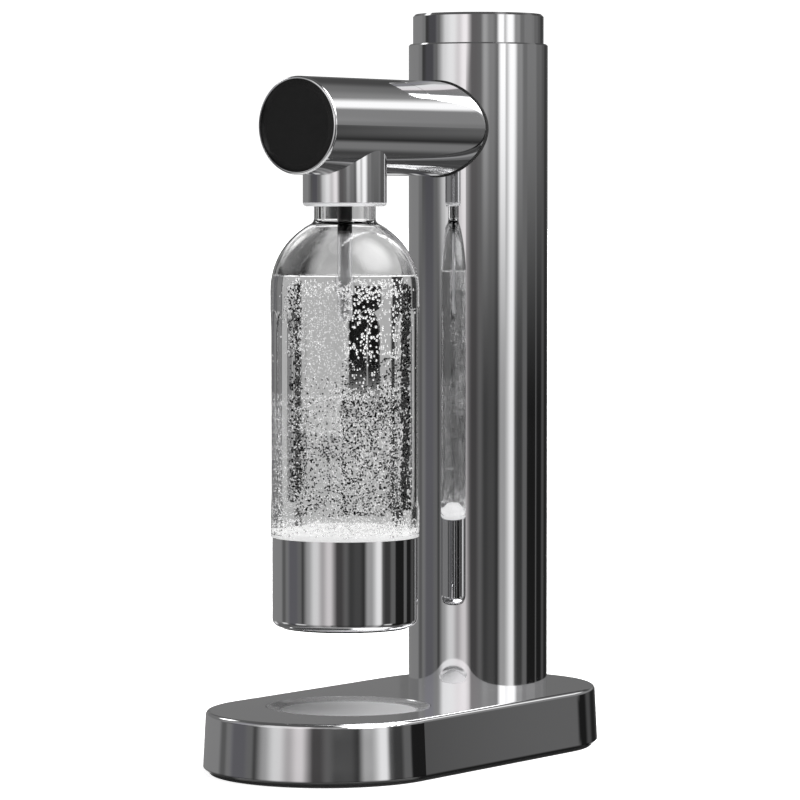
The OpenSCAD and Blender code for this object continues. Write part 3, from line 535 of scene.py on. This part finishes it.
def dress_nodes():
    """Gives each CAD node the finish of its slot, and returns the finishes."""
    finishes = {name: metal(name, *finish) for name, finish in METALS.items()}
    finishes.update({name: plastic(name, *finish) for name, finish in PLASTICS.items()})
    finishes["tray_steel"] = tray_metal("tray_steel")
    finishes["clear_plastic"] = bottle_plastic("clear_plastic")
    for node in NODES.values():
        for slot in node.material_slots:
            if slot.material and slot.material.name in finishes:
                slot.material = finishes[slot.material.name]
    # Painted shade: the tube steel is black in the bottle's neck.
    tube_steel_painted_shade = tube_metal_painted_shade("tube_steel_painted_shade")
    own = {
        # Steel with painted shade at its lower edge
        "base_shell": base_metal_painted_shade("base_steel_painted_shade"),
        "nozzle_shroud": shroud_metal("shroud_steel"),
        "carbonation_tube": tube_steel_painted_shade,
        "nozzle_tip": tube_steel_painted_shade,
    }
    for name, material in own.items():
        NODES[name].material_slots[0].material = material
    return finishes


# Bottle: the water's form repeats the bottle's inside from the part's source

BOTTLE_Y = (BOTTLE_LOW.y + BOTTLE_HIGH.y) / 2
BOTTLE_R = (BOTTLE_HIGH.x - BOTTLE_LOW.x) / 2
CUP_TOP = CUP_HIGH.z
WALL = 1.6 * MM
NECK_R = 16.85 * MM
NECK_FILLET = 3.0 * MM
NECK_SHOWN = 6.8 * MM
CUP_WALL = 1.0 * MM
SLIP_GAP = 0.15 * MM
SPIGOT_R = (CUP_HIGH.x - CUP_LOW.x) / 2 - CUP_WALL - SLIP_GAP
FOOT_ROUND = 14.0 * MM
SEAT_GAP = 0.3 * MM
DOME_RISE = math.sqrt((BOTTLE_R + NECK_FILLET) ** 2 - (NECK_R + NECK_FILLET) ** 2)
DOME_Z = SHROUD_Z - NECK_SHOWN - DOME_RISE
FLUTES = 10
FLUTE_R = 80.0 * MM
FLUTE_DEPTH = 1.0 * MM
FLUTE_TAPER = math.sqrt(2 * FLUTE_R * FLUTE_DEPTH - FLUTE_DEPTH ** 2)
FLUTE_OVER_CUP, FLUTE_UNDER_DOME = 14.0 * MM, 10.0 * MM
FLUTE_LOW = CUP_TOP + FLUTE_OVER_CUP + FLUTE_TAPER
FLUTE_TOP = DOME_Z - FLUTE_UNDER_DOME - FLUTE_TAPER

WATER_LEVEL = 269.8 * MM
WATER_OVERLAP = 0.1 * MM
WATER_FLOOR_RINGS = (0.01 * MM, 8.0 * MM, 16.0 * MM)
WATER_CORNER_STEPS = 12
WATER_SIDE_STEPS = 170
WATER_AROUND = 480
STEP_ROOM, SIDE_START = 0.2 * MM, 0.1 * MM
SURFACE_RINGS = (1.5 * MM, 3.0 * MM, 5.0 * MM, 8.0 * MM, 14.0 * MM)
MENISCUS, MENISCUS_FADE = 0.25 * MM, 1.6 * MM


def inside_radius(z, angle, inset):
    """Radius of the bottle's surface, taken in by inset, at a height and an angle, flutes included."""
    body = BOTTLE_R - inset
    if z > DOME_Z:
        body = math.sqrt(max(body ** 2 - (z - DOME_Z) ** 2, 0.0))
    beyond = max(FLUTE_LOW - z, z - FLUTE_TOP, 0.0)
    reach = (FLUTE_R + inset) ** 2 - beyond ** 2
    if reach <= 0:
        return body
    pitch = 2 * math.pi / FLUTES
    turn = (angle + pitch / 2) % pitch - pitch / 2
    away = BOTTLE_R + FLUTE_R - FLUTE_DEPTH
    root = reach - (away * math.sin(turn)) ** 2
    if root <= 0:
        return body
    return min(body, away * math.cos(turn) - math.sqrt(root))


def water_rows(inset):
    """Heights and radii of the water's side, from its floor's middle up; None follows the flutes."""
    floor = BOTTLE_LOW.z + inset
    spigot = SPIGOT_R - inset
    corner = FOOT_ROUND - inset
    step = CUP_TOP + SEAT_GAP + inset
    rows = [(floor, radius) for radius in WATER_FLOOR_RINGS]
    for i in range(WATER_CORNER_STEPS + 1):
        a = math.pi / 2 * i / WATER_CORNER_STEPS
        rows.append((floor + corner * (1 - math.cos(a)), spigot - corner + corner * math.sin(a)))
    rows += [(step, spigot), (step, BOTTLE_R - inset - STEP_ROOM)]
    side = step + SIDE_START
    rise = WATER_LEVEL + MENISCUS - side
    rows += [(side + rise * i / WATER_SIDE_STEPS, None) for i in range(WATER_SIDE_STEPS + 1)]
    return rows


def mesh_object(name, points, faces, material):
    mesh = bpy.data.meshes.new(name)
    mesh.from_pydata(points, [], faces)
    mesh.polygons.foreach_set("use_smooth", [True] * len(mesh.polygons))
    mesh.materials.append(material)
    mesh.update()
    piece = bpy.data.objects.new(name, mesh)
    bpy.context.scene.collection.objects.link(piece)
    return piece


def turns(count):
    """Angles of equal steps once round."""
    return [2 * math.pi * k / count for k in range(count)]


def make_water(material):
    inset = WALL - WATER_OVERLAP
    around = WATER_AROUND
    points = []
    rows = water_rows(inset)
    for z, radius in rows:
        for a in turns(around):
            r = inside_radius(z, a, inset) if radius is None else radius
            points.append((r * math.cos(a), BOTTLE_Y + r * math.sin(a), z))
    top_r = inside_radius(WATER_LEVEL + MENISCUS, 0.0, inset)
    for inward in SURFACE_RINGS:
        r = top_r - inward
        z = WATER_LEVEL + MENISCUS * math.exp(-inward / MENISCUS_FADE)
        points += [(r * math.cos(a), BOTTLE_Y + r * math.sin(a), z) for a in turns(around)]
    last = (len(rows) + len(SURFACE_RINGS) - 1) * around
    faces = []
    for row in range(0, last, around):
        for k in range(around):
            j = (k + 1) % around
            faces.append((row + k, row + j, row + around + j, row + around + k))
    faces.append(tuple(range(around))[::-1])
    faces.append(tuple(range(last, last + around)))
    water = mesh_object("water", points, faces, material)
    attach(water, "bottle")


BUBBLE_SEED = 7
BUBBLES = [  # count, radii, heights, turns from the camera's side, deepest under the wall, ball's fineness
    (150, (0.45, 0.8), (258, 267.5), (-60, 65), 10, 2),
    (340, (0.45, 0.85), (226, 268), (0, 62), 6, 2),
    (120, (0.45, 0.75), (204, 232), (-4, 62), 6, 2),
    (130, (0.45, 0.75), (225, 268), (-58, -36), 5, 2),
    (80, (0.4, 0.7), (185, 267), (-90, 90), 12, 2),
    (1900, (0.24, 0.4), (185, 266), (-45, 5), 8, 1),
    (2400, (0.3, 0.5), (132, 206), (-95, 20), 8, 1),
    (2500, (0.36, 0.6), (132, 210), (-10, 70), 4, 1),
    (260, (0.5, 0.9), (129, 138), (-90, 90), 10, 2),
]
# Painted shade: near-black balls that hardly mirror stand in for bubbles that look dark.
PAINTED_SHADE_BUBBLES = [
    (850, (0.6, 0.9), (143, 265), (54, 66), 2, 2),
    (1250, (0.38, 0.62), (141, 203), (-2, 54), 4, 1),
    (420, (0.38, 0.62), (194, 226), (-2, 54), 4, 1),
    (480, (0.36, 0.58), (141, 185), (-42, 2), 5, 1),
    (170, (0.36, 0.56), (172, 215), (-42, 2), 5, 1),
    (300, (0.45, 0.7), (148, 265), (-51, -38), 2, 2),
]
TUBE_ROOM = 6.0 * MM
WALL_ROOM = 0.25 * MM


def unit_ball(fineness):
    ball = bmesh.new()
    bmesh.ops.create_icosphere(ball, subdivisions=fineness, radius=1.0)
    points = np.array([v.co for v in ball.verts])
    faces = np.array([[v.index for v in f.verts] for f in ball.faces])
    ball.free()
    return points, faces


def between(draw, limits):
    return limits[0] + (limits[1] - limits[0]) * draw.rand()


def make_bubbles(name, rows, material):
    draw = np.random.RandomState(BUBBLE_SEED)
    points, faces, start = [], [], 0
    for count, radii, heights, limits, deepest, fineness in rows:
        ball, ball_faces = unit_ball(fineness)
        for _ in range(count):
            size = between(draw, radii) * MM
            z = between(draw, heights) * MM
            angle = math.radians(LIGHT_ZERO + between(draw, limits))
            depth = deepest * MM * draw.rand()
            r = max(inside_radius(z, angle, WALL) - size - WALL_ROOM - depth, TUBE_ROOM)
            centre = (r * math.cos(angle), BOTTLE_Y + r * math.sin(angle), z)
            points.append(ball * size + centre)
            faces.append(ball_faces + start)
            start += len(ball)
    bubbles = mesh_object(name, np.concatenate(points).tolist(), np.concatenate(faces).tolist(), material)
    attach(bubbles, "bottle")


FOAM_HEIGHT = 4.5 * MM
FOAM_EDGE_HEIGHT = 0.7 * MM
FOAM_SHOULDER = 0.35
FOAM_BUMP = 1.5 * MM
FOAM_UNDER = 6.0 * MM
FOAM_ROOM = 0.6 * MM
FOAM_SIDE = 9.0 * MM
FOAM_AROUND, FOAM_RINGS = 180, 34


def foam_height(share):
    """Height of the froth over the bottle's step, from its middle, share 0, to its edge, share 1."""
    t = min(max((share - FOAM_SHOULDER) / (1 - FOAM_SHOULDER), 0.0), 1.0)
    return FOAM_HEIGHT + (FOAM_EDGE_HEIGHT - FOAM_HEIGHT) * t * t * (3 - 2 * t)


def make_foam(material):
    """Froth over the bottle's floor: a bumpy mound that goes down past the step into the cup."""
    draw = np.random.RandomState(BUBBLE_SEED)
    around, rings = FOAM_AROUND, FOAM_RINGS
    step = CUP_TOP + SEAT_GAP + WALL
    outer = BOTTLE_R - WALL - FOAM_SIDE
    inner = SPIGOT_R - WALL - FOAM_ROOM
    low, ledge = step - FOAM_UNDER, step + FOAM_ROOM
    rows = [(outer * i / rings, step + foam_height(i / rings), FOAM_BUMP) for i in range(1, rings + 1)]
    rows += [(outer, ledge, 0.0), (inner, ledge, 0.0), (inner, low, 0.0)]
    points = [(0.0, BOTTLE_Y, step + FOAM_HEIGHT), (0.0, BOTTLE_Y, low)]
    for radius, height, bump in rows:
        for a in turns(around):
            z = height + bump * draw.rand()
            points.append((radius * math.cos(a), BOTTLE_Y + radius * math.sin(a), z))
    faces = []
    last = 2 + (len(rows) - 1) * around
    for k in range(around):
        j = (k + 1) % around
        faces.append((0, 2 + k, 2 + j))
        for row in range(2, last, around):
            below = row + around
            faces.append((row + k, below + k, below + j, row + j))
        faces.append((last + k, 1, last + j))
    foam = mesh_object("foam", points, faces, material)
    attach(foam, "bottle")


SPRING_R = 5.0 * MM
SPRING_WIRE = 0.8 * MM
SPRING_TURNS = 7
SPRING_ROOM = 0.1 * MM
SPRING_SIDES, SPRING_STEPS = 10, 24


def make_springs(material):
    """The button's two return springs of round wire."""
    sides = SPRING_SIDES
    steps = SPRING_TURNS * SPRING_STEPS
    middle = (SPRINGS_LOW + SPRINGS_HIGH) / 2
    rod_x = (SPRINGS_HIGH.x - SPRINGS_LOW.x) / 2 - SPRING_R - SPRING_WIRE
    low = SPRINGS_LOW.z + SPRING_WIRE + SPRING_ROOM
    high = SPRINGS_HIGH.z - SPRING_WIRE - SPRING_ROOM
    points, faces = [], []
    for axis_x in (middle.x - rod_x, middle.x + rod_x):
        start = len(points)
        for i in range(steps + 1):
            a = 2 * math.pi * i / SPRING_STEPS
            z = low + (high - low) * i / steps
            for b in turns(sides):
                r = SPRING_R + SPRING_WIRE * math.cos(b)
                rise = SPRING_WIRE * math.sin(b)
                points.append((axis_x + r * math.cos(a), middle.y + r * math.sin(a), z + rise))
        last = start + steps * sides
        for row in range(start, last, sides):
            for k in range(sides):
                j = (k + 1) % sides
                faces.append((row + k, row + sides + k, row + sides + j, row + j))
        faces.append(tuple(range(start, start + sides)))
        faces.append(tuple(range(last + sides - 1, last - 1, -1)))
    springs = mesh_object("return_springs", points, faces, material)
    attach(springs, "machine")
    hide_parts("button_springs")
    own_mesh(springs)


# Clear materials and froth

BOTTLE_IOR, WATER_IOR, SHADED_IOR = 1.49, 1.33, 0.98
CLEAR_CLOUDS, CLEAR_LOW, CLEAR_HIGH = 30.0, 0.35, 0.7
RIPPLE_DETAIL, RIPPLE_DEPTH = 2.0, 0.2 * MM
BOTTLE_ROUGHNESS = 0.01
BOTTLE_RIPPLE = (60.0, 0.06)
BUBBLE_RIPPLE = (300.0, 0.02)
# Painted shade: the bottle's side mirrors less than its dome, dimming its mirror images.
SIDE_MIRROR_PAINTED_DIM, SHADED_MIRROR = 0.3, 0.12
# Painted shade: the shaded bubbles' air is near black and mirrors little.
PAINTED_SHADE_LEVEL = 0.01
MIRROR_FADE = 4.0 * MM


def clear(name, ior, rough, ripple, mirror=1.0, level=1.0):
    """Clear plastic or air, with a slight ripple in its surface; mirror dims its mirror image, and a level
    under 1 darkens it as painted shade.
    """
    material, n, shader = new_material(name)
    ripple_scale, strength = ripple
    n.fill(shader, {
        "Base Color": grey(level),
        "Specular Tint": grey(mirror),
        "Transmission Weight": 1.0,
        "IOR": ior,
        "Roughness": n.remap(n.noise(CLEAR_CLOUDS), CLEAR_LOW, CLEAR_HIGH, 0.0, rough),
        "Normal": n.bump(n.noise(ripple_scale, RIPPLE_DETAIL), strength, RIPPLE_DEPTH),
    })
    return material


def bottle_plastic(name):
    """Clear plastic whose mirror images are dimmed on the bottle's side, a painted shade over them, and full
    on its dome.
    """
    material = clear(name, BOTTLE_IOR, BOTTLE_ROUGHNESS, BOTTLE_RIPPLE)
    n, shader = opened(material)
    share = n.height_remap(WATER_LEVEL, WATER_LEVEL + MIRROR_FADE, 0.0, 1.0)
    n.put(shader.inputs["Specular Tint"], n.mix(share, grey(SIDE_MIRROR_PAINTED_DIM), grey(1.0)))
    return material


FIZZ_SCALE, FIZZ_DETAIL, FIZZ_DEPTH = 900.0, 1.0, 0.6 * MM
FIZZ_TOP, FIZZ_FULL = 207.0 * MM, 185.0 * MM
FIZZ_MOST = 0.06


def fizzing_water():
    """Water whose side is roughened by tiny bubbles in its lower half."""
    material, n, shader = new_material("water")
    strength = n.height_remap(FIZZ_FULL, FIZZ_TOP, FIZZ_MOST, 0.0)
    n.fill(shader, {
        "Base Color": grey(1.0),
        "Specular Tint": grey(0.0),
        "Transmission Weight": 1.0,
        "IOR": WATER_IOR,
        "Roughness": 0.0,
        "Normal": n.bump(n.noise(FIZZ_SCALE, FIZZ_DETAIL), strength, FIZZ_DEPTH),
    })
    return material


# Painted light: the froth glows, standing in for light scattered through its bubbles.
FROTH_SPOTS, FROTH_DARK, FROTH_LIGHT = 900.0, 0.75, 0.98
FROTH_BUMPS, FROTH_BUMP, FROTH_BUMP_DEPTH = 1500.0, 0.5, 0.4 * MM
FROTH_ROUGHNESS, FROTH_PAINTED_GLOW = 0.5, 0.72


def froth():
    """White froth with a painted glow: its emission stands in for the light that its bubbles scatter."""
    material, n, shader = new_material("foam")
    n.fill(shader, {
        "Base Color": n.mix(n.noise(FROTH_SPOTS), grey(FROTH_DARK), grey(FROTH_LIGHT)),
        "Roughness": FROTH_ROUGHNESS,
        "Emission Color": grey(1.0),
        "Emission Strength": FROTH_PAINTED_GLOW,
        "Normal": n.bump(n.noise(FROTH_BUMPS), FROTH_BUMP, FROTH_BUMP_DEPTH),
    })
    return material


# The scene

make_camera()
make_world()
make_floor()
finishes = dress_nodes()
bubble_air = clear("bubble_air", 1 / WATER_IOR, 0.0, BUBBLE_RIPPLE)
# Painted shade: air for the dark bubbles, near black and barely mirroring.
painted_shade_air = clear("painted_shade_air", SHADED_IOR, 0.0, BUBBLE_RIPPLE, SHADED_MIRROR, PAINTED_SHADE_LEVEL)
make_water(fizzing_water())
make_bubbles("bubbles", BUBBLES, bubble_air)
make_bubbles("painted_shade_bubbles", PAINTED_SHADE_BUBBLES, painted_shade_air)
# The froth's material has a painted glow.
make_foam(froth())
make_springs(finishes["spring_steel"])
